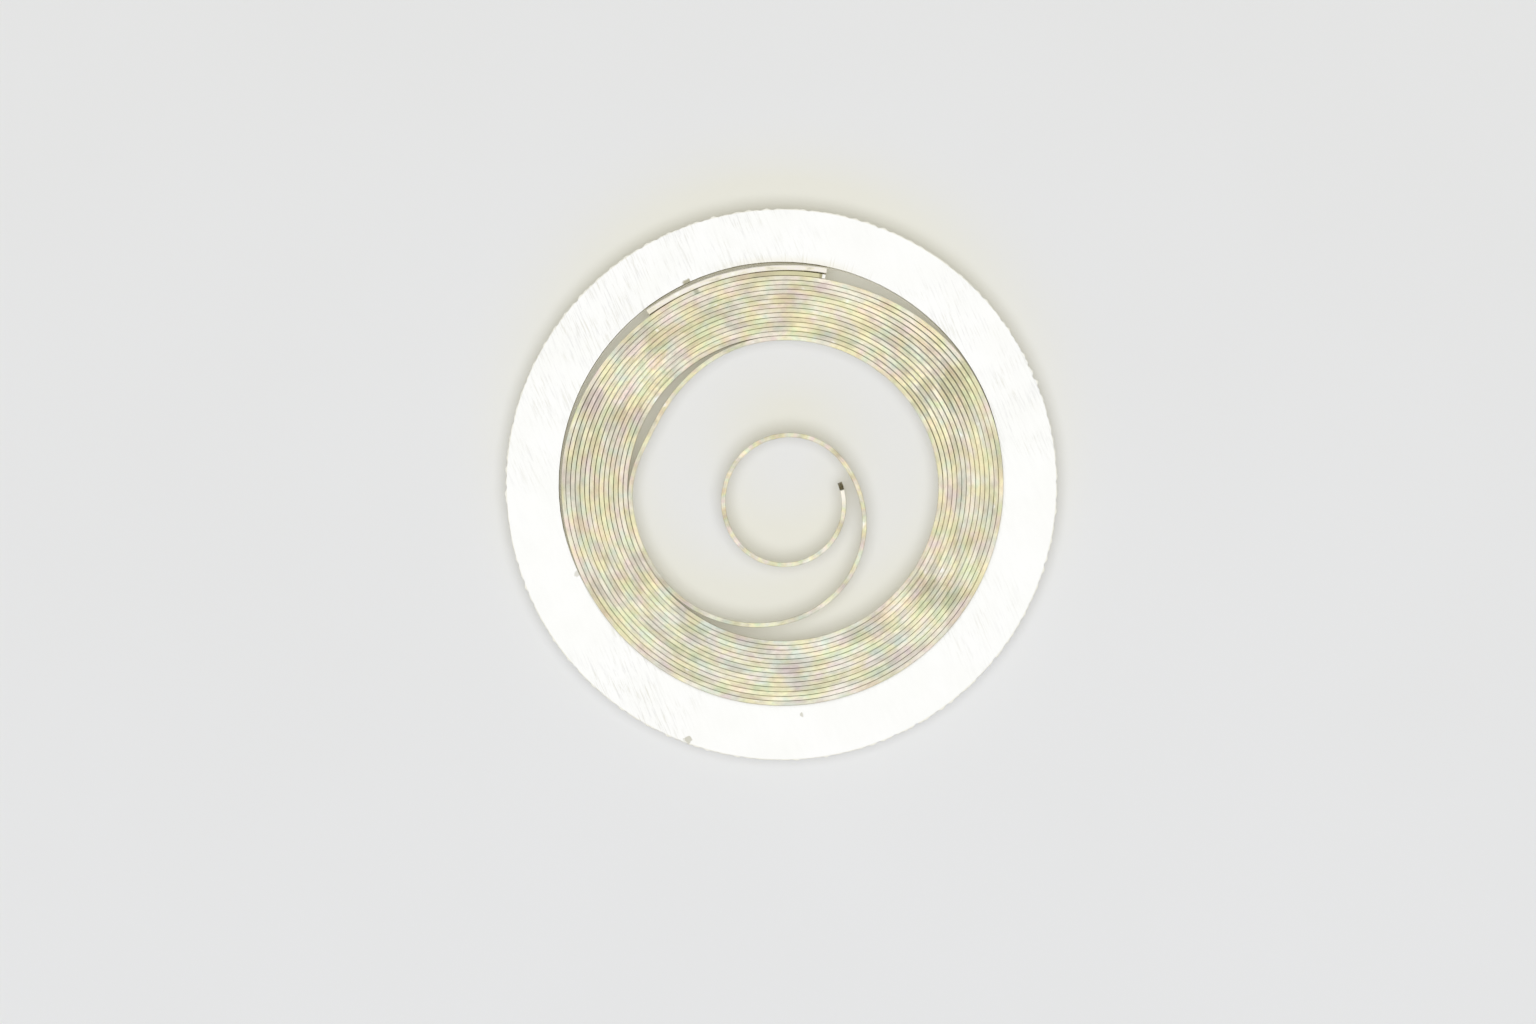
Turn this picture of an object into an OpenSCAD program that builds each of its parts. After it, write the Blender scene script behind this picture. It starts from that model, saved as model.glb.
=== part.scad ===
// Watch mainspring, wound and held in its flat retaining washer.
// Millimetres and degrees. Z is up, the part lies flat on z = 0 and the washer is centred on Z.
// The strip winds anticlockwise from its outer end inward, seen from above.

/* [Washer] */
// Diameter of the bore that holds the wound spring
bore_d = 10; // [8:0.05:13]
// Radial width of the washer's face
ring_w = 1.18; // [0.6:0.02:2]
// Thickness of the washer
ring_t = 1; // [0.6:0.05:1.6]
// Radius on the washer's four edges
ring_edge_r = 0.05; // [0.02:0.01:0.12]

/* [Strip] */
// Thickness of the spring strip
strip_t = 0.095; // [0.07:0.005:0.12]
// Height of the spring strip, and of the bridle welded to it
strip_h = 1.1; // [0.8:0.05:1.6]
// Gap between neighbouring turns
turn_gap = 0.009; // [0.005:0.001:0.02]
// Gap between the outermost turn and the bore
wall_gap = 0.02; // [0.01:0.005:0.05]
// Full turns that lie packed against the bore
packed_turns = 14; // [8:1:18]
// Direction of the strip's outer end, from +X
outer_end_at = 78.3; // [0:0.1:360]

/* [Bridle] */
// Thickness of the bridle strip
bridle_t = 0.135; // [0.08:0.005:0.16]
// Angle that the bridle spans on the bore
bridle_span = 49.7; // [30:0.1:70]
// How much further in the bridle's middle lies than its ends
bridle_bow = 0.045; // [0.02:0.005:0.12]
// Gap between the bridle's two ends and the circle that the pack fills
bridle_end_gap = 0.012; // [0.004:0.002:0.04]
// Gap between the bridle and the strip at the weld
weld_gap = 0.006; // [0.004:0.001:0.02]

/* [Packing] */
// How far the pack sits off the bore's middle, pressed to one side
pack_off = 0.017; // [0:0.001:0.04]
// Direction of that side, from +X
pack_off_at = 0; // [0:5:355]
// Angle over which the outermost turn dips in to the bridle, and swings out again behind it
dip_outer = 51; // [30:1:70]
// The same angle at the innermost packed turn
dip_inner = 86; // [60:1:110]
// Angle that the last turn still follows the pack before it leaves it
leave_run = 1; // [1:1:20]

/* [Slack] */
// How far the last turn stands off the pack where it is slack
slack = 0.19; // [0.05:0.01:0.3]
// Angle from the bridle's middle to the widest point of the slack
slack_at = 52; // [30:1:70]
// Angle over which the slack opens
slack_rise = 60; // [40:1:90]
// Angle over which the slack closes
slack_fall = 31; // [20:1:45]

/* [Arbor coil] */
// Radius inside the innermost coil, where it grips the arbor
coil_r = 1.3; // [1:0.02:1.6]
// Angle of the arc that leads off the pack
lead_sweep = 74; // [40:1:90]
// Its radius, from the arbor coil (0) to the pack (1)
lead_ease = 0.67; // [0.55:0.01:0.85]
// Angle of the arc that crosses the open space
cross_sweep = 112; // [80:1:130]
// Its radius, from the arbor coil (0) to the pack (1)
cross_ease = 0.43; // [0.3:0.01:0.54]
// Angle of the first, wider part of the arbor coil
coil_sweep = 171; // [150:1:200]
// Its radius, from the arbor coil (0) to the pack (1)
coil_ease = 0.07; // [0.04:0.01:0.2]
// Angle of the last part of the arbor coil, up to the tip
grip_sweep = 170; // [140:1:185]

/* [Inner tip] */
// Length of the eye for the arbor's hook, along the strip
eye_l = 0.6; // [0.45:0.05:0.9]
// Height of the eye
eye_h = 0.4; // [0.25:0.05:0.6]
// Distance from the tip to the middle of the eye
eye_back = 0.95; // [0.7:0.05:1.6]
// Length of the slanting cut on the tip's two corners
tip_cut_l = 0.17; // [0.08:0.01:0.3]
// Height of that cut
tip_cut_h = 0.24; // [0.1:0.02:0.36]

/* [Hidden] */
$fn = 96;

// Angle between neighbouring points of the strip, a whole fraction of a turn so that turns lie parallel
point_step = 6;
// Stock that the arbor bore takes off the innermost coil
ream = 0.003;
// How far cutters reach past what they cut
over = 0.05;

bore_r = bore_d / 2;
ring_r = bore_r + ring_w;
edge_r = min(ring_edge_r, 0.4 * min(ring_w, ring_t));
pitch = strip_t + turn_gap;

// Circle that the pack and the bridle fill: it touches the bore on the side that the pack is pressed to
fill_r = bore_r - pack_off;

// Bridle: an arc flatter than that circle, with its two outer corners close to it
bridle_half = bridle_span / 2;
bridle_mid = outer_end_at + bridle_half;
bridle_end_r = fill_r - bridle_end_gap;
bridle_chord = bridle_end_r * sin(bridle_half);
bridle_sag = bridle_end_r * (1 - cos(bridle_half)) - bridle_bow;
bridle_r = (bridle_chord * bridle_chord + bridle_sag * bridle_sag) / (2 * bridle_sag);
bridle_drop = bridle_r - (bridle_end_r - bridle_bow);
bridle_arc = asin(bridle_chord / bridle_r);

// Pack: turns hug that circle and dip inward together under the bridle
hug_r = fill_r - wall_gap - strip_t / 2;
bridle_lift = bridle_end_gap + bridle_t + weld_gap - wall_gap;
bow_reach = 1.7 * bridle_half;
leave_at = 360 * packed_turns + bridle_half + dip_inner + leave_run;

// Free end: arcs that tighten one after another from the pack to the arbor coil
pack_in_r = hug_r - pitch * packed_turns;
grip_r = coil_r + strip_t / 2 - ream;
arc_r = [for (e = [1, lead_ease, cross_ease, coil_ease, 0]) grip_r + e * (pack_in_r - grip_r)];
arc_from = [for (s = [0, 0, lead_sweep, lead_sweep + cross_sweep, lead_sweep + cross_sweep + coil_sweep])
    bridle_mid + leave_at + s];
arc_sweep = [0, lead_sweep, cross_sweep, coil_sweep, grip_sweep];
grip_centre = arc_centre(4);
tip_at = arc_from[4] + grip_sweep;

function dir(a) = [cos(a), sin(a)];
function ease(u) = u <= 0 ? 0 : u >= 1 ? 1 : (1 - cos(180 * u)) / 2;
function mix(a, b, u) = a + (b - a) * u;
function arc_centre(i) = i == 0 ? [0, 0]
    : arc_centre(i - 1) + (arc_r[i - 1] - arc_r[i]) * dir(arc_from[i]);

// Radius of the strip's middle at angle a, counted on from the bridle's middle, turn after turn
function pack_radius(a) =
    let (
        turn = floor((a + 180) / 360),
        f = a - 360 * turn,
        depth = min(1, max(0, a / (360 * packed_turns))),
        dip = mix(dip_outer, dip_inner, depth),
        inward = ease((f + bridle_half + dip) / dip),
        outward = ease((bridle_half + dip - f) / dip),
        loose = turn == packed_turns
            ? min(ease((f - slack_at) / slack_rise + 1), ease((slack_at - f) / slack_fall + 1)) : 0
    )
    hug_r - pitch * (turn - 1 + inward) - bridle_lift * min(inward, outward)
        - bridle_bow * ease(1 - abs(f) / bow_reach) - slack * loose;

// The strip's path: each entry is a centre, a radius and a direction from that centre
pack_angles = [for (a = [-bridle_half : point_step : leave_at - point_step / 2]) a];
pack_path = [for (a = pack_angles) [[0, 0], pack_radius(a), bridle_mid + a]];
free_path = [for (i = [1 : 4]) let (n = ceil(arc_sweep[i] / point_step)) for (j = [(i == 1 ? 0 : 1) : n])
    [arc_centre(i), arc_r[i], arc_from[i] + arc_sweep[i] * j / n]];
path = concat(pack_path, free_path);
last = len(path) - 1;

function side(p, off) = p[0] + (p[1] + off) * dir(p[2]);

module strip_outline() {
    polygon(concat(
        [for (p = path) side(p, strip_t / 2)],
        [for (k = [last : -1 : 0]) side(path[k], -strip_t / 2)]));
}

// Places the pack and the bridle in the bore, on the side that they are pressed to
module in_bore() {
    translate([pack_off * cos(pack_off_at), pack_off * sin(pack_off_at), 0]) children();
}

// Places children on the innermost coil, back from the tip: X outward, Y along the strip to its tip
module on_grip(back) {
    translate([grip_centre[0], grip_centre[1], 0]) rotate(tip_at - back * 180 / (PI * grip_r))
        translate([grip_r, 0, 0]) children();
}

module eye_cut() {
    reach = 3 * strip_t;
    on_grip(eye_back) translate([-reach / 2, 0, strip_h / 2]) rotate([90, 0, 90])
        linear_extrude(reach) {
            square([max(eye_l - eye_h, 0.01), eye_h], center = true);
            for (s = [-1, 1]) translate([s * max(eye_l - eye_h, 0) / 2, 0]) circle(d = eye_h);
        }
}

module tip_corner_cut() {
    reach = 4 * strip_t;
    out = 0.3;
    for (s = [0, 1])
        on_grip(0) translate([-reach / 2, 0, s * strip_h]) mirror([0, 0, 1 - s])
            rotate([90, 0, 90]) linear_extrude(reach) polygon([
                [-(1 + out) * tip_cut_l, out * tip_cut_h],
                [out * tip_cut_l, -(1 + out) * tip_cut_h],
                [out * tip_cut_l, out * tip_cut_h]]);
}

module retaining_washer() {
    color("gainsboro") rotate_extrude() translate([bore_r, 0]) {
        translate([edge_r, 0]) square([ring_w - 2 * edge_r, ring_t]);
        translate([0, edge_r]) square([ring_w, ring_t - 2 * edge_r]);
        for (x = [edge_r, ring_w - edge_r], z = [edge_r, ring_t - edge_r])
            translate([x, z]) circle(r = edge_r, $fn = 24);
    }
}

module mainspring() {
    color("khaki") in_bore() difference() {
        linear_extrude(strip_h) strip_outline();
        translate([grip_centre[0], grip_centre[1], -over]) cylinder(r = coil_r, h = strip_h + 2 * over);
        eye_cut();
        tip_corner_cut();
    }
}

module bridle() {
    color("white") in_bore() translate(-bridle_drop * [cos(bridle_mid), sin(bridle_mid), 0])
        rotate(bridle_mid - bridle_arc) rotate_extrude(angle = 2 * bridle_arc)
            translate([bridle_r - bridle_t, 0]) square([bridle_t, strip_h]);
}

retaining_washer();
mainspring();
bridle();
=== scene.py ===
"""Looks of the wound watch mainspring in its retaining washer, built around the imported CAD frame."""
import math

import bpy
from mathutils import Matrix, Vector, noise


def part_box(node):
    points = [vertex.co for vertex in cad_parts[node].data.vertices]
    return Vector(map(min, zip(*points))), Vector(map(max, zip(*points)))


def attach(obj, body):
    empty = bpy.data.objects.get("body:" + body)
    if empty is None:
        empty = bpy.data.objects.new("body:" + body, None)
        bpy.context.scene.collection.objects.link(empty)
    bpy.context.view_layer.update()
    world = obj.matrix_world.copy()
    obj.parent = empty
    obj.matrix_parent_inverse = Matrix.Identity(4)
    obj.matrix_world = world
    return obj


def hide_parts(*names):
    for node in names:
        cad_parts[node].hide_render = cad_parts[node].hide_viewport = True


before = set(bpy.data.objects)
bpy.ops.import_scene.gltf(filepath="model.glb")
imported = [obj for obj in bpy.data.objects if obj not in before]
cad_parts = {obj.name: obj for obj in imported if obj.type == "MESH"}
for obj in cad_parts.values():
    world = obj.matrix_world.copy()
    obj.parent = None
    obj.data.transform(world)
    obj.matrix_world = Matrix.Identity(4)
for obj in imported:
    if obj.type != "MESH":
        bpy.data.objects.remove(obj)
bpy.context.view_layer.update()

MM = 0.001

# Sizes of the part, in millimetres and degrees, as in its construction.
BORE_R = 5.0
STRIP_T = 0.095
STRIP_H = 1.1
TURN_GAP = 0.009
WALL_GAP = 0.02
PACKED_TURNS = 14
OUTER_END_AT = 78.3
BRIDLE_T = 0.135
BRIDLE_SPAN = 49.7
BRIDLE_BOW = 0.045
BRIDLE_END_GAP = 0.012
WELD_GAP = 0.006
PACK_OFF = Vector((0.017, 0.0))
DIP = (51.0, 86.0)
LEAVE_RUN = 1.0
SLACK, SLACK_AT, SLACK_RISE, SLACK_FALL = 0.19, 52.0, 60.0, 31.0
COIL_R = 1.3
REAM = 0.003
ARC_EASE = (1.0, 0.67, 0.43, 0.07, 0.0)
ARC_SWEEP = (0.0, 74.0, 112.0, 171.0, 170.0)
EYE_L, EYE_H, EYE_BACK = 0.6, 0.4, 0.95
TIP_CUT_L, TIP_CUT_H = 0.17, 0.24

_, RING_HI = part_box("retaining_washer")
RING_R = RING_HI.x / MM
RING_T = RING_HI.z / MM

PITCH = STRIP_T + TURN_GAP
FILL_R = BORE_R - PACK_OFF.length
BRIDLE_HALF = BRIDLE_SPAN / 2
BRIDLE_MID = OUTER_END_AT + BRIDLE_HALF
BRIDLE_LIFT = BRIDLE_END_GAP + BRIDLE_T + WELD_GAP - WALL_GAP
BOW_REACH = 1.7 * BRIDLE_HALF
HUG_R = FILL_R - WALL_GAP - STRIP_T / 2
LEAVE_AT = 360 * PACKED_TURNS + BRIDLE_HALF + DIP[1] + LEAVE_RUN
GRIP_R = COIL_R + STRIP_T / 2 - REAM
PACK_IN_R = HUG_R - PITCH * PACKED_TURNS

# Fineness of the meshes: degrees between stations, points on a round edge and on half the eye, steps round.
PATH_STEP = 2.0
CORNER_POINTS = 5
EYE_POINTS = 12
BRIDLE_STEPS = 80
WASHER_STEPS = 1440
SHARP_ANGLE = math.radians(40)

# Radius of the round edges.
STRIP_ROUND, BRIDLE_ROUND, RIM_ROUND, BORE_ROUND = 0.012, 0.03, 0.010, 0.006

# The photograph: its frame in pixels, the washer's centre in it, and its scale.
PHOTO_W, PHOTO_H = 1536, 1024
PHOTO_CENTRE = (781.0, 484.0)
PHOTO_MM = 0.022457


def photo_xy(px, py):
    """Place on the part, in millimetres, of a pixel of the photograph."""
    return (px - PHOTO_CENTRE[0]) * PHOTO_MM, (PHOTO_CENTRE[1] - py) * PHOTO_MM


def direction(angle):
    """Unit direction in plan, by its angle in degrees."""
    return Vector((math.cos(math.radians(angle)), math.sin(math.radians(angle))))


def ease(u):
    """0 at zero and below, 1 at one and above, without a kink between."""
    u = min(1.0, max(0.0, u))
    return (1 - math.cos(math.pi * u)) / 2


def mix(a, b, u):
    return a + (b - a) * u


# The strip's path

def pack_radius(a):
    """Radius of the strip's middle at angle a, counted on from the bridle's middle, turn after turn."""
    turn = math.floor((a + 180) / 360)
    f = a - 360 * turn
    depth = min(1.0, max(0.0, a / (360 * PACKED_TURNS)))
    dip = mix(*DIP, depth)
    inward = ease((f + BRIDLE_HALF + dip) / dip)
    outward = ease((BRIDLE_HALF + dip - f) / dip)
    r = HUG_R - PITCH * (turn - 1 + inward) - BRIDLE_LIFT * min(inward, outward)
    r -= BRIDLE_BOW * ease(1 - abs(f) / BOW_REACH)
    if turn == PACKED_TURNS:
        r -= SLACK * min(ease((f - SLACK_AT) / SLACK_RISE + 1), ease((SLACK_AT - f) / SLACK_FALL + 1))
    return r


def strip_path():
    """Stations along the strip: (point, outward direction), from its outer end to its inner tip."""
    stations = []
    count = math.ceil((LEAVE_AT + BRIDLE_HALF) / PATH_STEP)
    for i in range(count):
        a = mix(-BRIDLE_HALF, LEAVE_AT, i / count)
        out = direction(BRIDLE_MID + a)
        stations.append((PACK_OFF + pack_radius(a) * out, out))
    radii = [GRIP_R + e * (PACK_IN_R - GRIP_R) for e in ARC_EASE]
    centre, start = PACK_OFF, BRIDLE_MID + LEAVE_AT
    for i in range(1, len(radii)):
        centre = centre + (radii[i - 1] - radii[i]) * direction(start)
        n = math.ceil(ARC_SWEEP[i] / PATH_STEP)
        for j in range(0 if i == 1 else 1, n + 1):
            out = direction(start + ARC_SWEEP[i] * j / n)
            stations.append((centre + radii[i] * out, out))
        start += ARC_SWEEP[i]
    return stations


def path_lengths(stations):
    """Length along the strip at each station."""
    run = [0.0]
    for (p, _), (q, _) in zip(stations, stations[1:]):
        run.append(run[-1] + (q - p).length)
    return run


# Mesh helpers

def mesh_object(name, verts, faces, uvs=None, smooth=True):
    """A mesh from points in millimetres; uvs gives one pair per vertex."""
    mesh = bpy.data.meshes.new(name)
    mesh.from_pydata([tuple(c * MM for c in v) for v in verts], [], faces)
    if uvs:
        layer = mesh.uv_layers.new(name="strip")
        for loop in mesh.loops:
            layer.data[loop.index].uv = uvs[loop.vertex_index]
    mesh.validate()
    if smooth:
        mesh.shade_smooth()
    else:
        mesh.shade_flat()
    mesh.set_sharp_from_angle(angle=SHARP_ANGLE)
    obj = bpy.data.objects.new(name, mesh)
    bpy.context.scene.collection.objects.link(obj)
    return obj


def round_section(width, height, outer, inner=None):
    """Outline of a section with round edges, by the radius of its outer and inner edges:
    (across, up) pairs, anticlockwise, bottom at zero."""
    points = []
    for cx, cz, first in ((1, 0, -90), (1, 1, 0), (-1, 1, 90), (-1, 0, 180)):
        radius = outer if cx > 0 or inner is None else inner
        mid_x = cx * (width / 2 - radius)
        mid_z = height - radius if cz else radius
        for k in range(CORNER_POINTS + 1):
            d = direction(first + 90 * k / CORNER_POINTS)
            points.append((mid_x + radius * d.x, mid_z + radius * d.y))
    return points


def skin(count, n, closed=False):
    """Faces between neighbouring sections: count sections of n points each, in a row or in a ring."""
    faces = []
    for i in range(count if closed else count - 1):
        a, b = i * n, (i + 1) % count * n
        for k in range(n):
            m = (k + 1) % n
            faces.append((a + k, a + m, b + m, b + k))
    return faces


def sweep(name, stations, sections):
    """A strip along the stations, one section for each, with capped ends.
    Its UVs are the length along it and the place round the section."""
    n = len(sections[0])
    verts, uvs = [], []
    for (p, out), s, section in zip(stations, path_lengths(stations), sections):
        for k, (across, up) in enumerate(section):
            q = p + across * out
            verts.append((q.x, q.y, up))
            uvs.append((s, k / n))
    faces = skin(len(stations), n)
    faces.append(tuple(reversed(range(n))))
    faces.append(tuple(range((len(stations) - 1) * n, len(stations) * n)))
    return mesh_object(name, verts, faces, uvs)


def cut(piece, cutter):
    """Takes the cutter out of the piece's mesh, and removes the cutter."""
    modifier = piece.modifiers.new("cut", "BOOLEAN")
    modifier.operation, modifier.solver, modifier.object = "DIFFERENCE", "EXACT", cutter
    depsgraph = bpy.context.evaluated_depsgraph_get()
    mesh = bpy.data.meshes.new_from_object(piece.evaluated_get(depsgraph))
    piece.modifiers.clear()
    piece.data = mesh
    mesh.set_sharp_from_angle(angle=SHARP_ANGLE)
    bpy.data.objects.remove(cutter)


# Mainspring: one strip with rolled round edges

# Packed turns lie on each other, so the strip seen here takes up most of the clearance that its solid leaves.
SEEN_GAP = 0.004
PACKED_T = PITCH - SEEN_GAP
EYE_REACH = 1.5 * STRIP_T


def strip_sections(run):
    """The strip's section at each length along it; the last stretch is cut down from above and below."""
    base = round_section(PACKED_T, STRIP_H, STRIP_ROUND)
    middle = STRIP_H / 2
    sections = []
    for s in run:
        lost = TIP_CUT_H * max(0.0, 1 - (run[-1] - s) / TIP_CUT_L)
        squeeze = 1 - lost / middle
        sections.append([(x, middle + (z - middle) * squeeze) for x, z in base])
    return sections


def eye_cutter(stations, run):
    """The obround eye for the arbor's hook, as a solid that passes through the strip near its inner tip."""
    at = min(range(len(stations)), key=lambda i: abs(run[-1] - EYE_BACK - run[i]))
    middle, out = stations[at]
    side = Vector((-out.y, out.x))
    outline = []
    for end, first in ((1, -90), (-1, 90)):
        for k in range(EYE_POINTS + 1):
            d = direction(first + 180 * k / EYE_POINTS)
            outline.append((end * (EYE_L - EYE_H) / 2 + EYE_H / 2 * d.x, STRIP_H / 2 + EYE_H / 2 * d.y))
    n = len(outline)
    verts = []
    for depth in (-EYE_REACH, EYE_REACH):
        for x, z in outline:
            q = middle + depth * out + x * side
            verts.append((q.x, q.y, z))
    faces = [tuple(range(n)), tuple(reversed(range(n, 2 * n)))]
    faces += [(k, n + k, n + (k + 1) % n, (k + 1) % n) for k in range(n)]
    return mesh_object("eye_cutter", verts, faces, smooth=False)


path = strip_path()
strip_run = path_lengths(path)
STRIP_L = strip_run[-1]
mainspring = sweep("mainspring_strip", path, strip_sections(strip_run))
cut(mainspring, eye_cutter(path, strip_run))

# Bridle: a short arc, flatter than the bore


def bridle_stations():
    """Stations along the bridle, whose ends lie nearer to the bore than its middle does."""
    end_r = FILL_R - BRIDLE_END_GAP
    half = math.radians(BRIDLE_HALF)
    chord = end_r * math.sin(half)
    sag = end_r * (1 - math.cos(half)) - BRIDLE_BOW
    radius = (chord * chord + sag * sag) / (2 * sag)
    arc = math.degrees(math.asin(chord / radius))
    centre = PACK_OFF - (radius - (end_r - BRIDLE_BOW)) * direction(BRIDLE_MID)
    stations = []
    for i in range(BRIDLE_STEPS + 1):
        out = direction(BRIDLE_MID - arc + 2 * arc * i / BRIDLE_STEPS)
        stations.append((centre + (radius - BRIDLE_T / 2) * out, out))
    return stations


bridle_path = bridle_stations()
bridle_section = round_section(BRIDLE_T, STRIP_H, BRIDLE_ROUND)
bridle = sweep("bridle_strip", bridle_path, [bridle_section] * len(bridle_path))

# Washer: a punched ring with uneven edges, which are truer at the bottom

# How far the edges wander, in millimetres, and how often: slowly and fast round the part.
RIM_WANDER, BORE_WANDER = 0.016, 0.010
WANDER_SLOW, WANDER_FAST = 2.2, 26
# Nicks round the rim: how far it stands out under them, and their least and greatest depth.
RIM_STAND, NICK_LEAST, NICK_MOST = 0.012, 0.022, 0.064
# Noise along the rim, by how often per degree and a seed: where it is ragged, its nicks and its tear.
RAGGED, NICKS, TORN = (0.05, 2.0, 4.0), (0.8, 6.0, 1.0), (1.3, 3.0, 9.0)
# Where the punch tore the rim, and its one burr: direction, half width and size.
TEAR_AT, TEAR_HALF, TEAR_DEPTH = 27, 32, 0.02
BURR_AT, BURR_HALF, BURR_OUT = 182, 0.9, 0.035
# The bore's burr: where it starts and ends, in degrees, with its rise and fall, and the gap it leaves.
BURR_START, BURR_RISE, BURR_END, BURR_FALL = 185, 30, 5, 20
BURR_GAP = 0.004
# Share of the rim's unevenness that is left at the bottom.
RIM_LOW_SHARE = 0.3


def edge_wander(angle, seed, size):
    """Uneven punched edge: how far an edge moves at this angle, in millimetres."""
    d = direction(angle)
    slow = noise.noise(Vector((d.x * WANDER_SLOW, d.y * WANDER_SLOW, seed)))
    fast = noise.noise(Vector((d.x * WANDER_FAST, d.y * WANDER_FAST, seed + 7)))
    return size * (0.5 * slow + 0.5 * fast)


def rim_noise(angle, per_degree, seed_y, seed_z):
    return noise.noise(Vector((angle * per_degree, seed_y, seed_z)))


def rim_edge(angle):
    """The rim's unevenness: nicks all round, rough where the punch tore it, with one small burr."""
    ragged = 0.5 + 0.5 * rim_noise(angle, *RAGGED)
    nick = RIM_STAND + mix(NICK_LEAST, NICK_MOST, ragged) * rim_noise(angle, *NICKS)
    torn = TEAR_DEPTH * ease(1 - abs(angle - TEAR_AT) / TEAR_HALF) * (1 + rim_noise(angle, *TORN))
    burr = BURR_OUT * ease(1 - abs(angle - BURR_AT) / BURR_HALF)
    return edge_wander(angle, 1.0, RIM_WANDER) + nick - torn + burr


def bore_edge(angle):
    """The bore's unevenness; along the bottom and right its burr reaches nearly to the outer turn."""
    gap = WALL_GAP + PACK_OFF.length * (1 - direction(angle).x)
    burred = ease((angle - BURR_START) / BURR_RISE) + ease(1 - (angle - BURR_END) / BURR_FALL)
    plain = max(edge_wander(angle, 5.0, BORE_WANDER), 0.0)
    return plain * (1 - burred) - (gap - BURR_GAP) * burred


def washer_mesh(name):
    """The ring's section, turned round its axis."""
    section = round_section(RING_R - BORE_R, RING_T, RIM_ROUND, BORE_ROUND)
    middle = (RING_R + BORE_R) / 2
    verts = []
    for i in range(WASHER_STEPS):
        angle = 360 * i / WASHER_STEPS
        out = direction(angle)
        rim, bore = rim_edge(angle), bore_edge(angle)
        for x, z in section:
            up = z / RING_T
            r = middle + x + (rim * mix(RIM_LOW_SHARE, 1.0, up) if x > 0 else bore * up)
            verts.append((r * out.x, r * out.y, z))
    return mesh_object(name, verts, skin(WASHER_STEPS, len(section), closed=True))


washer = washer_mesh("washer_ring")

# Materials


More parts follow.
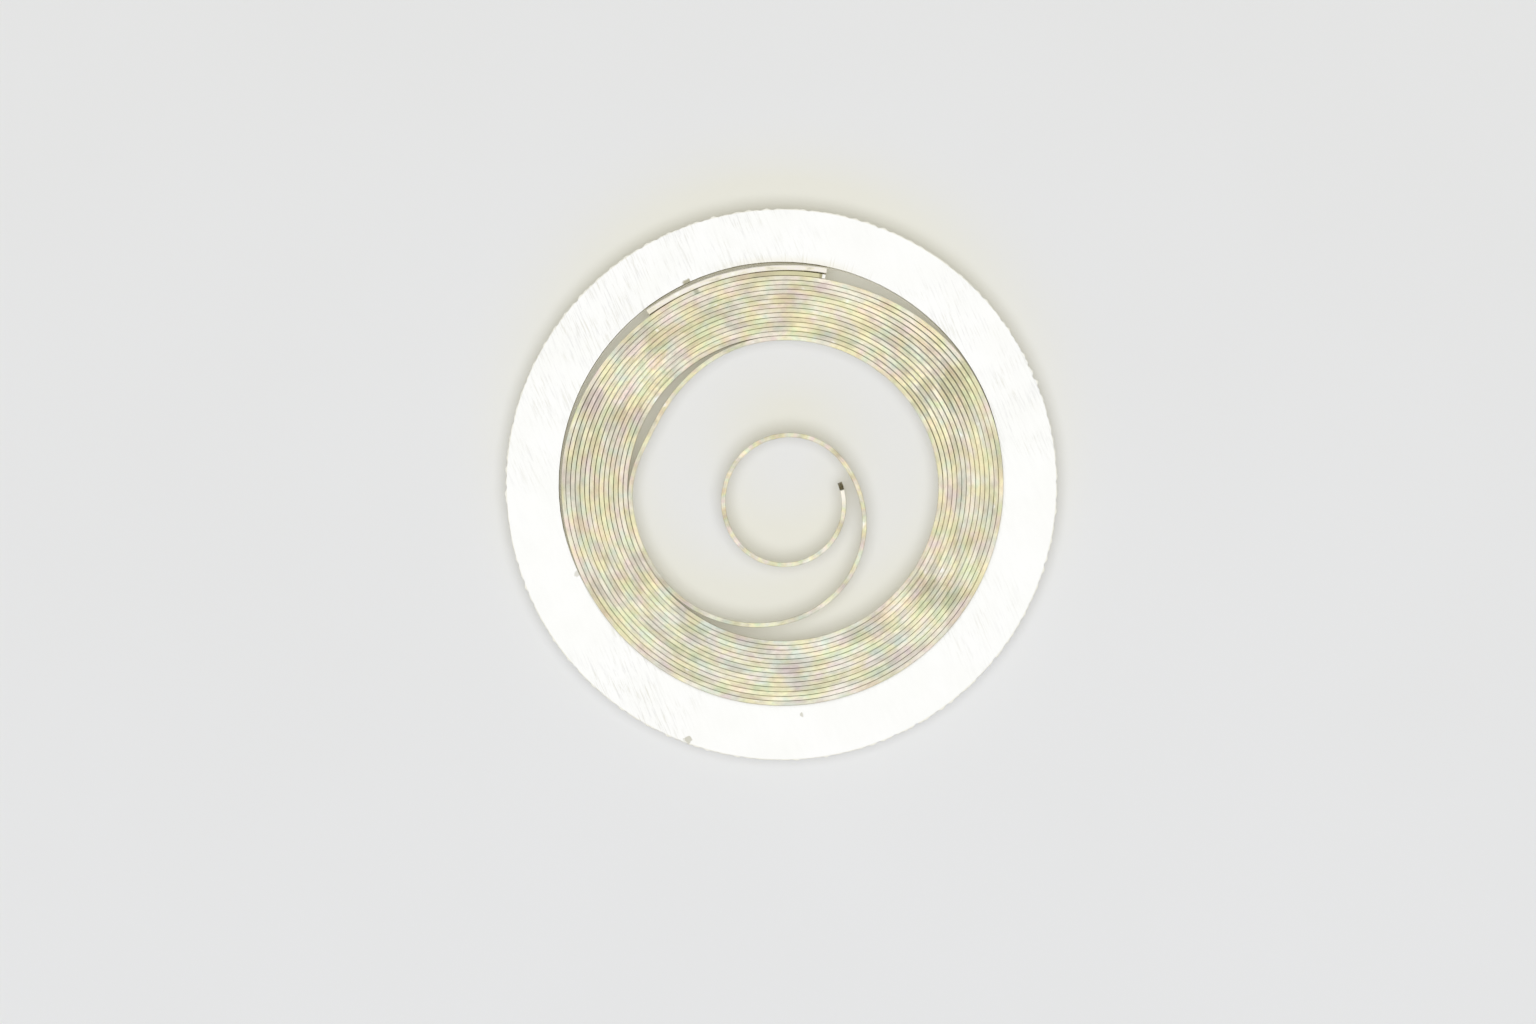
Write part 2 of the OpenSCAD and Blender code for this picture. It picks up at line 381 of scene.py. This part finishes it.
class Nodes:
    """The nodes of a material or of the world, with short calls for the ones used here."""

    def __init__(self, tree):
        self.nodes, self.links = tree.nodes, tree.links

    def set(self, node, socket, value):
        if hasattr(value, "is_output"):
            self.links.new(value, node.inputs[socket])
        elif value is not None:
            node.inputs[socket].default_value = value

    def math(self, operation, a, b=None):
        node = self.nodes.new("ShaderNodeMath")
        node.operation = operation
        self.set(node, 0, a)
        self.set(node, 1, b)
        return node.outputs[0]

    def times(self, a, b):
        return self.math("MULTIPLY", a, b)

    def less(self, a, b):
        return self.math("SUBTRACT", a, b)

    def rest(self, value):
        return self.math("SUBTRACT", 1.0, value)

    def vector(self, operation, a, b=None):
        node = self.nodes.new("ShaderNodeVectorMath")
        node.operation = operation
        self.set(node, 0, a)
        self.set(node, 1, b)
        return node.outputs["Value" if operation in ("LENGTH", "DISTANCE", "DOT_PRODUCT") else "Vector"]

    def coords(self, kind):
        return self.nodes.new("ShaderNodeTexCoord").outputs[kind]

    def split(self, vector):
        node = self.nodes.new("ShaderNodeSeparateXYZ")
        self.set(node, 0, vector)
        return node.outputs

    def join(self, x, y, z=0.0):
        node = self.nodes.new("ShaderNodeCombineXYZ")
        for i, v in enumerate((x, y, z)):
            self.set(node, i, v)
        return node.outputs[0]

    def mapped(self, vector, turn=0.0, scale=(1, 1, 1)):
        node = self.nodes.new("ShaderNodeMapping")
        self.set(node, "Vector", vector)
        node.inputs["Rotation"].default_value = (0, 0, math.radians(turn))
        node.inputs["Scale"].default_value = scale
        return node.outputs[0]

    def noise(self, vector, scale, detail=2.0, rough=0.5):
        node = self.nodes.new("ShaderNodeTexNoise")
        self.set(node, "Vector", vector)
        for socket, v in (("Scale", scale), ("Detail", detail), ("Roughness", rough), ("Distortion", 0.0)):
            node.inputs[socket].default_value = v
        return node.outputs["Fac"]

    def ramp(self, value, stops, smooth=True):
        """stops: (position, grey level or colour)."""
        node = self.nodes.new("ShaderNodeValToRGB")
        self.set(node, 0, value)
        band = node.color_ramp
        band.interpolation = "EASE" if smooth else "LINEAR"
        while len(band.elements) < len(stops):
            band.elements.new(0.5)
        for element, (position, colour) in zip(band.elements, stops):
            element.position = position
            element.color = (*colour, 1) if isinstance(colour, tuple) else (colour, colour, colour, 1)
        return node.outputs[0]

    def between(self, value, low, high):
        """0 at low and below, 1 at high and above, eased."""
        node = self.nodes.new("ShaderNodeMapRange")
        node.interpolation_type = "SMOOTHSTEP"
        self.set(node, "Value", value)
        node.inputs["From Min"].default_value = low
        node.inputs["From Max"].default_value = high
        return node.outputs["Result"]

    def before(self, value, low, high):
        """1 at low and below, 0 at high and above, eased."""
        return self.rest(self.between(value, low, high))

    def band(self, value, rise, fall):
        """1 between a rise and a fall, each of them a (low, high) pair, and 0 outside them."""
        return self.less(self.between(value, *rise), self.between(value, *fall))

    def near(self, unit, angle, half, soft=0.5):
        """1 in the middle of the sector of the given half width round an angle, 0 outside it;
        unit is a direction."""
        d = direction(angle)
        along = self.vector("DOT_PRODUCT", unit, (d.x, d.y, 0.0))
        inner = math.cos(math.radians(half * soft))
        return self.between(along, math.cos(math.radians(half)), inner)

    def polar(self, unit, across, along_scale, across_scale, shift=0.0):
        """Coordinates that run round the part and across its turns, with a scale for each, and a shift."""
        round_part = self.vector("MULTIPLY", unit, (along_scale, along_scale, 0.0))
        through = self.vector("MULTIPLY", across, (0.0, 0.0, across_scale))
        return self.vector("ADD", self.vector("ADD", round_part, through), (0.0, 0.0, shift))

    def blend(self, factor, a, b, how="MIX"):
        node = self.nodes.new("ShaderNodeMix")
        node.data_type, node.blend_type = "RGBA", how
        self.set(node, "Factor", factor)
        for socket, v in ((6, a), (7, b)):
            self.set(node, socket, (*v, 1) if isinstance(v, tuple) else v)
        return node.outputs[2]

    def paint(self, colour, where, amount, over):
        """The colour with another one over it, where a mask says so, by an amount."""
        return self.blend(self.times(where, amount), colour, over)

    def tint(self, colour, by, where=1.0):
        """The colour times another one, everywhere or where a mask says so."""
        return self.blend(where, colour, by, "MULTIPLY")

    def seen(self):
        """1 for what the camera sees, straight, in metal or through glass, and 0 for what lights the rest."""
        rays = self.nodes.new("ShaderNodeLightPath").outputs
        indirect = self.math("MAXIMUM", rays["Is Glossy Ray"], rays["Is Transmission Ray"])
        return self.math("MAXIMUM", rays["Is Camera Ray"], indirect)


class Shader(Nodes):
    """A material with its Principled shader."""

    def __init__(self, name):
        self.material = bpy.data.materials.new(name)
        self.material.use_nodes = True
        super().__init__(self.material.node_tree)
        self.bsdf = self.nodes["Principled BSDF"]

    def in_mm(self):
        """Object coordinates in millimetres."""
        return self.mapped(self.coords("Object"), scale=(1 / MM, 1 / MM, 1 / MM))

    def bump(self, height, strength, distance):
        node = self.nodes.new("ShaderNodeBump")
        self.set(node, "Height", height)
        node.inputs["Strength"].default_value = strength
        node.inputs["Distance"].default_value = distance * MM
        self.links.new(node.outputs[0], self.bsdf.inputs["Normal"])

    def finish(self, colour, roughness, metallic=1.0):
        self.set(self.bsdf, "Base Color", colour)
        self.set(self.bsdf, "Roughness", roughness)
        self.bsdf.inputs["Metallic"].default_value = metallic
        return self.material


# The strip's edges: what each noise turns into, as (noise, colour or grey level).
MINT_TO_ROSE = (
    (0.34, (0.87, 0.93, 0.80)),
    (0.47, (0.955, 0.93, 0.80)),
    (0.56, (0.98, 0.91, 0.80)),
    (0.66, (0.985, 0.86, 0.81)),
)
STRAW_TO_SILVER = ((0.34, (1.0, 1.0, 0.78)), (0.66, (0.98, 0.985, 1.0)))
# Painted light and shade in patches across the turns, standing in for reflections.
PAINTED_PATCH_LIGHT = ((0.30, 0.81), (0.62, 1.0))
DASH_LIGHT = ((0.30, 0.84), (0.60, 1.0))
FAN_LIGHT = ((0.32, 0.92), (0.62, 1.0))
SPECKLE_LIGHT = ((0.34, 0.89), (0.60, 1.0))
# Painted glints: white highlights dotted on the edges, and the noise levels between which they show.
GLINT, GLINT_AT = (0.99, 0.985, 0.95), (0.70, 0.86)
# A golden tone everywhere but in the sector at the bottom: direction and half width.
GOLDEN, SILVER_SECTOR = (1.0, 0.975, 0.93), (272, 55)
# Fans of light and shade across the turns: direction, half width and level; and how far turns slide in them.
FANS = (
    (31, 7, 0.78), (24, 5, 1.0), (38, 4, 1.0), (104, 4, 1.0), (142, 7, 1.0), (158, 6, 0.90),
    (212, 8, 0.85), (204, 4, 1.0), (222, 5, 0.98), (265, 8, 1.0), (325, 7, 0.84), (333, 5, 1.0),
)
FAN_SLIDE = 0.42
# The strip's sides, and the depth below its top over which the edge's look gives way to theirs.
SIDE_SILVER = ((0.34, (0.66, 0.63, 0.55)), (0.50, (0.80, 0.77, 0.68)), (0.66, (0.88, 0.86, 0.79)))
SIDE_STRAW, SIDE_STRAW_AT = (0.84, 0.78, 0.60), (0.45, 0.65)
EDGE_FADE = (0.05, 0.02)
STRIP_ROUGHNESS, SIDE_SMOOTHER = ((0.3, 0.20), (0.7, 0.36)), 0.06
# The outer end: a darker brown stretch, which weakens on its way to the weld and ends there, in millimetres
# along it.
WELD_AT = math.radians(35.4) * (HUG_R - BRIDLE_LIFT)
END_BROWN = ((0.30, (0.38, 0.34, 0.22)), (0.55, (0.55, 0.49, 0.33)), (0.70, (0.72, 0.66, 0.46)))
END_BROWN_WEAKENS, END_BROWN_LOSS, END_BROWN_STOP = (1.45, 1.85), 0.75, 0.3
WELD_DARK, WELD_REACH = (0.28, 0.27, 0.17), (0.02, 0.09)
# Its olive stretch, a dark line and the bright cut face: where each is full and gone, amount and colour.
OUTER_MARKS = (
    (0.9, 1.4, 0.8, (0.68, 0.65, 0.40)),
    (0.11, 0.16, 0.7, (0.30, 0.27, 0.16)),
    (0.06, 0.08, 1.0, (0.95, 0.93, 0.87)),
)
# The inner end, in millimetres back from the tip: a greyer stretch where the strip leaves the pack, a bright
# stretch before the tip, and painted shade on the cut tip, which starts over this length.
LEAD_GREY, LEAD_RISE, LEAD_FALL = (0.90, 0.91, 0.90), (18.0, 16.0), (13.5, 11.5)
TIP_BRIGHT, BRIGHT_RISE, BRIGHT_FALL = (0.97, 0.92, 0.82), (0.7, 0.3), (0.20, 0.16)
TIP_PAINTED_SHADE, TIP_FADE = (0.31, 0.29, 0.21), 0.02


def fan_shade(sh, along, x, y):
    """Light and shade in fans across the turns; each turn shows them a little to one side or the other."""
    drift = sh.noise(sh.join(along, 0.0, 3.0), 0.8)
    slide = sh.times(sh.less(drift, 0.5), FAN_SLIDE)
    slid_x = sh.less(x, sh.times(y, slide))
    slid_y = sh.math("ADD", y, sh.times(x, slide))
    unit = sh.vector("NORMALIZE", sh.join(slid_x, slid_y))
    broad = sh.noise(sh.vector("MULTIPLY", unit, (5.5, 5.5, 5.5)), 1.0, detail=3.0)
    shade = sh.ramp(broad, FAN_LIGHT)
    for angle, half, level in FANS:
        shade = sh.blend(sh.near(unit, angle, half, soft=0.25), shade, (level, level, level))
    return shade


def outer_end(sh, colour, along, streak):
    """The colour with the darker brown stretch, the marks and the weld of the strip's outer end."""
    end_brown = sh.rest(sh.times(sh.between(along, *END_BROWN_WEAKENS), END_BROWN_LOSS))
    end_brown = sh.times(end_brown, sh.before(along, WELD_AT - END_BROWN_STOP, WELD_AT))
    colour = sh.paint(colour, end_brown, 0.8, sh.ramp(streak, END_BROWN))
    for full, gone, amount, mark in OUTER_MARKS:
        colour = sh.paint(colour, sh.before(along, full, gone), amount, mark)
    from_weld = sh.math("ABSOLUTE", sh.less(along, WELD_AT))
    return sh.paint(colour, sh.before(from_weld, *WELD_REACH), 0.6, WELD_DARK)


def inner_end(sh, colour, along):
    """The colour with the stretches and the painted shade on the tip of the strip's inner end."""
    def back(pair):
        return [STRIP_L - length for length in pair]

    colour = sh.tint(colour, LEAD_GREY, sh.band(along, back(LEAD_RISE), back(LEAD_FALL)))
    bright = sh.band(along, back(BRIGHT_RISE), back(BRIGHT_FALL))
    colour = sh.paint(colour, bright, 0.85, TIP_BRIGHT)
    # Painted shade on the cut tip.
    dark = sh.between(along, *back((TIP_CUT_L + TIP_FADE, TIP_CUT_L - TIP_FADE)))
    return sh.blend(dark, colour, TIP_PAINTED_SHADE)


def strip_material(name):
    """Rolled spring alloy: sides drawn along in silver and pale straw, edges in short dashes of straw, rose
    and mint with painted patches and fans of light and shade across the turns and painted glints, a darker
    brown stretch at its outer end and painted shade on its tip."""
    sh = Shader(name)
    along, around, _ = sh.split(sh.coords("UV"))
    x, y, z = sh.split(sh.in_mm())
    flat = sh.join(x, y)
    unit = sh.vector("NORMALIZE", flat)
    across = sh.join(0.0, 0.0, sh.vector("LENGTH", flat))
    streak = sh.noise(sh.join(along, sh.times(around, 0.8)), 1.2)
    speckle = sh.noise(sh.join(along, sh.times(around, 3.0), 11.0), 6.0)
    rosy = sh.noise(sh.polar(unit, across, 9.5, 3.6), 1.0, detail=2.5)
    strawy = sh.noise(sh.polar(unit, across, 8.5, 3.4, shift=80.0), 1.0, detail=2.5)
    # Painted patches of light and shade across the turns, in place of reflections.
    light = sh.noise(sh.polar(unit, across, 4.8, 2.6, shift=40.0), 1.0, detail=3.0)

    colour = sh.tint(sh.ramp(rosy, MINT_TO_ROSE), sh.ramp(strawy, STRAW_TO_SILVER))
    colour = sh.tint(colour, GOLDEN, sh.rest(sh.near(unit, *SILVER_SECTOR)))
    colour = sh.tint(colour, sh.ramp(light, PAINTED_PATCH_LIGHT))
    colour = sh.tint(colour, sh.ramp(streak, DASH_LIGHT))
    colour = sh.tint(colour, fan_shade(sh, along, x, y))
    colour = sh.tint(colour, sh.ramp(speckle, SPECKLE_LIGHT))

    drawn = sh.noise(sh.join(sh.times(along, 0.12), sh.times(z, 22.0)), 1.0, detail=4.0, rough=0.65)
    side = sh.ramp(drawn, SIDE_SILVER)
    side = sh.paint(side, sh.between(streak, *SIDE_STRAW_AT), 0.25, SIDE_STRAW)
    height = sh.math("ABSOLUTE", sh.less(z, STRIP_H / 2))
    edge = sh.between(height, STRIP_H / 2 - EDGE_FADE[0], STRIP_H / 2 - EDGE_FADE[1])
    colour = sh.blend(edge, side, colour)
    # Painted glints: white highlights on the edges.
    glint = sh.noise(sh.join(along, sh.times(around, 2.0), 7.0), 3.2, detail=1.0)
    colour = sh.blend(sh.times(sh.between(glint, *GLINT_AT), edge), colour, GLINT)

    colour = outer_end(sh, colour, along, streak)
    colour = inner_end(sh, colour, along)

    grain = sh.noise(sh.join(sh.times(along, 0.35), sh.times(around, 90.0)), 3.0, detail=3.0)
    roughness = sh.less(sh.ramp(grain, STRIP_ROUGHNESS), sh.times(sh.rest(edge), SIDE_SMOOTHER))
    relief = sh.math("ADD", sh.times(sh.times(streak, edge), 1.6), sh.times(grain, 0.25))
    sh.bump(relief, strength=0.6, distance=0.006)
    return sh.finish(colour, roughness)


# The washer's face, and its scratches: their direction, their fineness along and across, and their looks.
WASHER_STEEL = ((0.3, (0.975, 0.975, 0.95)), (0.7, (0.99, 0.99, 0.975)))
WASHER_ROUGHNESS = ((0.35, 0.30), (0.75, 0.46))
SCRATCH_TURN, SCRATCH_SCALE = 113.0, (1.5, 24, 1)
SCRATCH_LINES = ((0.50, 0.0), (0.63, 1.0))
SCRATCH_BLOTCH = ((0.36, 0.15), (0.60, 1.0))
SCRATCH_HUES = ((0.38, (0.70, 0.68, 0.56)), (0.62, (0.74, 0.74, 0.74)))
# Where the scratches lie: direction, half width and amount.
SCUFFS = ((120, 46, 0.9), (163, 22, 0.6), (47, 16, 0.7), (19, 16, 0.8), (234, 18, 0.9), (326, 14, 0.5))
# Painted reflection: a dim straw line along the rim's round edge, by its depth in from the edge.
RIM_REFLECTION_STRAW, RIM_REFLECTION_FADE = (0.80, 0.77, 0.60), (0.016, 0.003)
# Fine hairs and a haze at the bore above the bridle: direction and half width, and width out from the bore.
HAIR_OLIVE, HAIR_SECTOR, HAIR_FADE = (0.62, 0.59, 0.44), (86, 26), (0.05, 0.30)
HAZE_CREAM, HAZE_SECTOR, HAZE_FADE = (0.90, 0.87, 0.76), (88, 22), (0.0, 0.2)
HAIR_AT, HAIR_SCALE = (0.56, 0.68), (95, 95, 95)
# Dark specks on the face: place, radius and depth; and the depth below the face at which they end.
SPECKS = (
    (photo_xy(686, 282), 0.11, 0.8),
    (photo_xy(687, 739), 0.10, 0.5),
    (photo_xy(801, 714), 0.06, 0.45),
    (photo_xy(577, 573), 0.08, 0.35),
)
SPECK_DARK, SPECK_RAGGED, SPECK_CORE = (0.34, 0.31, 0.17), 0.16, 0.55
FACE_FADE = (0.06, 0.02)


def washer_material(name):
    """Bright tumbled steel with patches of fine slanting scratches, a painted straw reflection along the rim,
    fine hairs and a haze at the bore, and a few dark specks.
    """
    sh = Shader(name)
    place = sh.in_mm()
    x, y, z = sh.split(place)
    flat = sh.join(x, y)
    unit = sh.vector("NORMALIZE", flat)
    radius = sh.vector("LENGTH", flat)
    cloud = sh.noise(place, 0.9, detail=3.0)
    colour = sh.ramp(cloud, WASHER_STEEL)

    slanted = sh.mapped(sh.mapped(place, turn=-SCRATCH_TURN), scale=SCRATCH_SCALE)
    lines = sh.noise(slanted, 1.0, detail=4.0, rough=0.72)
    worn = 0.0
    for angle, half, amount in SCUFFS:
        worn = sh.math("MAXIMUM", worn, sh.times(sh.near(unit, angle, half, soft=0.35), amount))
    blotch = sh.ramp(sh.noise(place, 1.3), SCRATCH_BLOTCH)
    scratch = sh.times(sh.ramp(lines, SCRATCH_LINES), sh.times(worn, blotch))
    hue = sh.ramp(sh.noise(place, 2.1, detail=1.0), SCRATCH_HUES)
    colour = sh.paint(colour, scratch, 0.5, hue)

    # Painted reflection: a dim straw line on the rim's round edge.
    rim = sh.between(radius, RING_R - RIM_REFLECTION_FADE[0], RING_R - RIM_REFLECTION_FADE[1])
    colour = sh.paint(colour, rim, 0.45, RIM_REFLECTION_STRAW)
    whisker = sh.noise(sh.vector("MULTIPLY", unit, HAIR_SCALE), 1.0)
    hair = sh.times(sh.between(whisker, *HAIR_AT), sh.near(unit, *HAIR_SECTOR, soft=0.3))
    hair = sh.times(hair, sh.before(radius, BORE_R + HAIR_FADE[0], BORE_R + HAIR_FADE[1]))
    colour = sh.paint(colour, hair, 0.35, HAIR_OLIVE)
    haze = sh.before(radius, BORE_R + HAZE_FADE[0], BORE_R + HAZE_FADE[1])
    haze = sh.times(haze, sh.near(unit, *HAZE_SECTOR, soft=0.3))
    colour = sh.paint(colour, haze, 0.6, HAZE_CREAM)

    face = sh.between(z, RING_T - FACE_FADE[0], RING_T - FACE_FADE[1])
    ragged = sh.times(sh.less(sh.noise(place, 9.0), 0.5), SPECK_RAGGED)
    for (px, py), size, depth in SPECKS:
        away = sh.math("ADD", sh.vector("DISTANCE", flat, (px, py, 0.0)), ragged)
        spot = sh.times(sh.before(away, size * SPECK_CORE, size), face)
        colour = sh.paint(colour, spot, depth, SPECK_DARK)

    sh.bump(sh.less(sh.times(cloud, 0.6), scratch), strength=0.5, distance=0.004)
    return sh.finish(colour, sh.ramp(lines, WASHER_ROUGHNESS))


BRIDLE_STEEL = (
    (0.30, (0.72, 0.68, 0.56)),
    (0.42, (0.88, 0.83, 0.68)),
    (0.52, (0.91, 0.86, 0.80)),
    (0.62, (0.90, 0.88, 0.74)),
    (0.72, (0.97, 0.95, 0.90)),
)
BRIDLE_ROUGHNESS = ((0.3, 0.24), (0.7, 0.40))


def bridle_material(name):
    """Bright sheared strip, cream white with faint rose and straw, drawn along it."""
    sh = Shader(name)
    along, around, _ = sh.split(sh.coords("UV"))
    streak = sh.noise(sh.join(along, sh.times(around, 4.0)), 3.4, detail=3.0)
    grain = sh.noise(sh.join(sh.times(along, 0.5), sh.times(around, 60.0)), 3.0)
    sh.bump(grain, strength=0.4, distance=0.003)
    return sh.finish(sh.ramp(streak, BRIDLE_STEEL), sh.ramp(grain, BRIDLE_ROUGHNESS))


# The pale board: its colour, how much darker its clouds are, and the glow that makes up a share of its look.
BOARD, BOARD_CLOUD = (0.775, 0.788, 0.784), 0.985
BOARD_GLOW, GLOW_SHARE = (0.82, 0.77, 0.56), 0.36
BOARD_ROUGHNESS = ((0.3, 0.62), (0.7, 0.70))


def floor_material(name):
    """Plain pale board with a very faint cloudiness; part of its pale look is its own glow, so that its
    shadow stays light."""
    sh = Shader(name)
    cloud = sh.noise(sh.in_mm(), 0.12, detail=3.0)
    dim = tuple(c * BOARD_CLOUD for c in BOARD)
    colour = sh.ramp(cloud, ((0.35, dim), (0.65, BOARD)))
    sh.finish(colour, sh.ramp(cloud, BOARD_ROUGHNESS), metallic=0.0)
    glow = sh.nodes.new("ShaderNodeEmission")
    glow.inputs["Color"].default_value = (*BOARD_GLOW, 1)
    both = sh.nodes.new("ShaderNodeMixShader")
    sh.set(both, 0, sh.times(sh.seen(), GLOW_SHARE))
    sh.set(both, 1, sh.bsdf.outputs[0])
    sh.set(both, 2, glow.outputs[0])
    sh.set(sh.nodes["Material Output"], "Surface", both.outputs[0])
    return sh.material


mainspring.data.materials.append(strip_material("spring_alloy"))
bridle.data.materials.append(bridle_material("bridle_steel"))
washer.data.materials.append(washer_material("washer_steel"))

for piece, node, slot in ((mainspring, "mainspring", "spring_strip"), (bridle, "bridle", "bridle"),
                          (washer, "retaining_washer", "washer")):
    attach(piece, "root")
    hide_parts(node)

# Stage: floor, light and camera

# The floor's radius, and how far it lies under the part.
FLOOR_R, FLOOR_DROP = 400.0, 0.002
floor_ring = [FLOOR_R * direction(a) for a in range(0, 360, 5)]
floor_verts = [(p.x, p.y, -FLOOR_DROP) for p in floor_ring]
floor = mesh_object("floor", floor_verts, [tuple(range(len(floor_verts)))], smooth=False)
floor.data.materials.append(floor_material("floor_board"))

# A pale tent round the part: what metal shows of it, by height, and how much of it reaches the floor.
TENT, TENT_BLUE = ((0.0, 0.60), (0.45, 0.84), (0.9, 1.06)), 0.997
TENT_FILL = 0.15
# Share of the tent that metal still shows to light which the floor has thrown back.
AFTER_FLOOR = 0.3
# Darker flags that stand round it, so that metal has something to show from the side: direction and half
# width, their level, and the height over which they end.
FLAGS = ((12, 34), (100, 22), (168, 30), (262, 36), (318, 16))
FLAG_LEVEL, FLAG_BLUE = 0.48, 1.01
FLAG_TOP = (0.25, 0.75)

world = bpy.data.worlds.new("studio")
bpy.context.scene.world = world
world.use_nodes = True
sky = Nodes(world.node_tree)
way_x, way_y, way_up = sky.split(sky.coords("Generated"))
tent_stops = [(height, (level, level, level * TENT_BLUE)) for height, level in TENT]
tent = sky.ramp(way_up, tent_stops, smooth=False)
level_way = sky.vector("NORMALIZE", sky.join(way_x, way_y))
below = sky.before(way_up, *FLAG_TOP)
for angle, half in FLAGS:
    flag = sky.near(level_way, angle, half, soft=0.4)
    tent = sky.paint(tent, flag, below, (FLAG_LEVEL, FLAG_LEVEL, FLAG_LEVEL * FLAG_BLUE))
bounces = sky.nodes.new("ShaderNodeLightPath").outputs["Diffuse Depth"]
direct = sky.rest(sky.times(sky.math("MINIMUM", bounces, 1.0), 1 - AFTER_FLOOR))
seen = sky.times(sky.seen(), direct)
background = sky.nodes["Background"]
sky.set(background, "Color", sky.blend(seen, (TENT_FILL, TENT_FILL, TENT_FILL), tent))
sky.set(background, "Strength", 1.0)

# Soft lamps light the floor and cast the narrow shadows; metal shows the tent instead.
# Each has its place, its width and height, its power and its colour.
LAMPS = {
    "overhead": ((0.0, -28.0, 330.0), (200.0, 200.0), 1.0, (1.0, 1.0, 1.0)),
    "cool_front": ((0.0, -300.0, 250.0), (700.0, 240.0), 0.62, (0.0, 0.15, 1.0)),
}
for name, (place, (width, height), power, colour) in LAMPS.items():
    lamp = bpy.data.lights.new(name, "AREA")
    lamp.shape, lamp.size, lamp.size_y = "ELLIPSE", width * MM, height * MM
    lamp.energy, lamp.color = power, colour
    holder = bpy.data.objects.new(name, lamp)
    holder.location = Vector(place) * MM
    holder.rotation_euler = (-holder.location).to_track_quat("-Z", "Y").to_euler()
    holder.visible_glossy = False
    bpy.context.scene.collection.objects.link(holder)

# The camera looks straight down on the middle of the photograph's frame, from this height above the strip.
CAMERA_UP = 300.0
SENSOR_W = 36.0
camera_data = bpy.data.cameras.new("camera")
camera = bpy.data.objects.new("camera", camera_data)
bpy.context.scene.collection.objects.link(camera)
bpy.context.scene.camera = camera
look_x, look_y = photo_xy(PHOTO_W / 2 - 0.5, PHOTO_H / 2 - 0.5)
camera.location = (look_x * MM, look_y * MM, (CAMERA_UP + STRIP_H) * MM)
camera_data.sensor_fit = "HORIZONTAL"
camera_data.sensor_width = SENSOR_W
camera_data.lens = SENSOR_W * CAMERA_UP / (PHOTO_W * PHOTO_MM)
camera_data.clip_start, camera_data.clip_end = 0.001, 10.0

bpy.context.scene.view_settings.view_transform = "Standard"
cycles = bpy.context.scene.cycles
cycles.max_bounces, cycles.diffuse_bounces, cycles.glossy_bounces = 24, 8, 20
